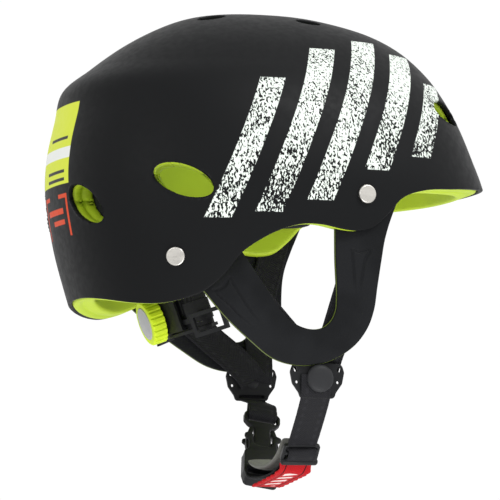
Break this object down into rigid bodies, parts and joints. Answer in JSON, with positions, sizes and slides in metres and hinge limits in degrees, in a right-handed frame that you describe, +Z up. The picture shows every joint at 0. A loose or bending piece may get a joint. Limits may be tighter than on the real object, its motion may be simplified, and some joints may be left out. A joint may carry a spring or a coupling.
{
  "type": "water sports helmet",
  "caption": "Hard-shell water sports helmet with foam liner, U-shaped ear guards, buckled chin strap and rear fit dial.",
  "frame": {"origin": "on the symmetry plane, level with the shell's rear rim, below the middle of the shell's length: where the head enters", "axes": "+X forward (brim), +Y to the wearer's left, +Z up"},
  "size_m": [0.2783, 0.212, 0.2994],
  "materials": {
    "shell_black": "matte, fine satin, worn white graphic bars",
    "foam_lime": "soft lime foam, fine cell texture",
    "pad_grey": "brushed knit over foam",
    "rivet_metal": "nickel, lightly brushed",
    "guard_black": "pebbled matte skin",
    "guard_lime": "matte foam core",
    "guard_lining": "knit lining",
    "webbing_black": "woven webbing",
    "webbing_red": "woven red webbing with white bars",
    "plastic_black": "satin moulded",
    "chin_pad_grey": "soft lined pad",
    "dial_lime": "soft satin",
    "dial_grey": "satin"
  },
  "bodies": {
    "helmet": {"outer_shell": "shell_black", "foam_liner": "foam_lime", "front_pad": "pad_grey", "rear_pad": "pad_grey", "side_pad_left": "pad_grey", "side_pad_right": "pad_grey", "crown_pad": "pad_grey", "rivet_caps": "rivet_metal", "rivet_washers": "rivet_metal", "anchor_tab_front_left": "guard_black", "anchor_tab_front_right": "guard_black", "anchor_tab_rear_left": "guard_black", "anchor_tab_rear_right": "guard_black", "hanger_bracket_left": "plastic_black", "hanger_bracket_right": "plastic_black", "hanger_pins": "plastic_black"},
    "cradle": {"rear_cradle": "plastic_black", "ratchet_housing": "plastic_black"},
    "dial": {"dial_knob": "dial_lime", "dial_cap": "dial_grey", "dial_pinion": "plastic_black"},
    "band_left": {"rack_band_left": "plastic_black", "strap_guide_left": "plastic_black"},
    "band_right": {"rack_band_right": "plastic_black", "strap_guide_right": "plastic_black"},
    "chin_right": {"chin_web_right": "webbing_black"},
    "chin_left": {"chin_web_left": "webbing_black", "buckle_male": "plastic_black"},
    "chin_piece": {"buckle_female": "plastic_black", "chin_web_under": "webbing_black", "chin_pad": "chin_pad_grey", "ladder_lock": "plastic_black", "lock_web_fold": "webbing_black", "pull_tab": "webbing_red"},
    "prong_front": {"buckle_prong_front": "plastic_black"},
    "prong_rear": {"buckle_prong_rear": "plastic_black"},
    "ear_left": {"ear_guard_skin_left": "guard_black", "ear_guard_core_left": "guard_lime", "ear_guard_lining_left": "guard_lining", "front_web_left": "webbing_black", "rear_web_left": "webbing_black", "divider_plate_left": "plastic_black", "divider_cap_left": "plastic_black"},
    "ear_right": {"ear_guard_skin_right": "guard_black", "ear_guard_core_right": "guard_lime", "ear_guard_lining_right": "guard_lining", "front_web_right": "webbing_black", "rear_web_right": "webbing_black", "divider_plate_right": "plastic_black", "divider_cap_right": "plastic_black"}
  },
  "joints": [
    {"name": "cradle_tilt", "type": "hinge", "parent": "helmet", "child": "cradle", "pos_m": [-0.0734, 0, 0.0234], "axis": [0, 1, 0], "range_deg": [-12, 15]},
    {"name": "dial_turn", "type": "hinge", "parent": "cradle", "child": "dial", "pos_m": [-0.07418, 0, -0.00666], "axis": [-0.9397, 0, -0.342], "range_deg": [-120, 120]},
    {"name": "band_left_travel", "type": "hinge", "parent": "cradle", "child": "band_left", "pos_m": [0.001, 0, 0.0207], "axis": [-0.342, 0, 0.9397], "range_deg": [-8, 8]},
    {"name": "band_right_travel", "type": "hinge", "parent": "cradle", "child": "band_right", "pos_m": [0.001, 0, 0.0207], "axis": [-0.342, 0, 0.9397], "range_deg": [-8, 8]},
    {"name": "ear_guard_left_swing", "type": "hinge", "parent": "helmet", "child": "ear_left", "pos_m": [0.028, 0.0957, 0.0435], "axis": [0.9222, 0.1253, 0.3659], "range_deg": [0, 28], "stiffness_Nm_per_rad": 0.15, "springref_deg": -22.92},
    {"name": "ear_guard_right_swing", "type": "hinge", "parent": "helmet", "child": "ear_right", "pos_m": [0.028, -0.0957, 0.0435], "axis": [-0.9222, 0.1253, -0.3659], "range_deg": [0, 28], "stiffness_Nm_per_rad": 0.15, "springref_deg": -22.92},
    {"name": "chin_strap_swing", "type": "hinge", "parent": "ear_left", "child": "chin_left", "pos_m": [0.0181, 0.0784, -0.0403], "axis": [0.0706, 0.9966, 0.0426], "range_deg": [-25, 15]},
    {"name": "chin_strap_right_swing", "type": "hinge", "parent": "ear_right", "child": "chin_right", "pos_m": [0.007, -0.0784, -0.047], "axis": [0.0706, 0.9966, 0.0426], "range_deg": [-25, 15]},
    {"name": "buckle_release", "type": "slide", "parent": "chin_left", "child": "chin_piece", "axis": [-0.2, -0.5799, -0.7898], "range_m": [0, 0.026]},
    {"name": "prong_front_squeeze", "type": "hinge", "parent": "chin_left", "child": "prong_front", "pos_m": [0.02386, 0.05594, -0.07214], "axis": [-0.0198, 0.8083, -0.5884], "range_deg": [0, 8], "stiffness_Nm_per_rad": 0.05},
    {"name": "prong_rear_squeeze", "type": "hinge", "parent": "chin_left", "child": "prong_rear", "pos_m": [0.01014, 0.05736, -0.06971], "axis": [0.0198, -0.8083, 0.5884], "range_deg": [0, 8], "stiffness_Nm_per_rad": 0.05}
  ],
  "couplings": [
    {"joint": "band_left_travel", "follows": "dial_turn", "ratio": -0.06519},
    {"joint": "band_right_travel", "follows": "dial_turn", "ratio": 0.06519},
    {"joint": "chin_strap_right_swing", "follows": "chin_strap_swing", "ratio": 1},
    {"joint": "prong_rear_squeeze", "follows": "prong_front_squeeze", "ratio": 1}
  ]
}
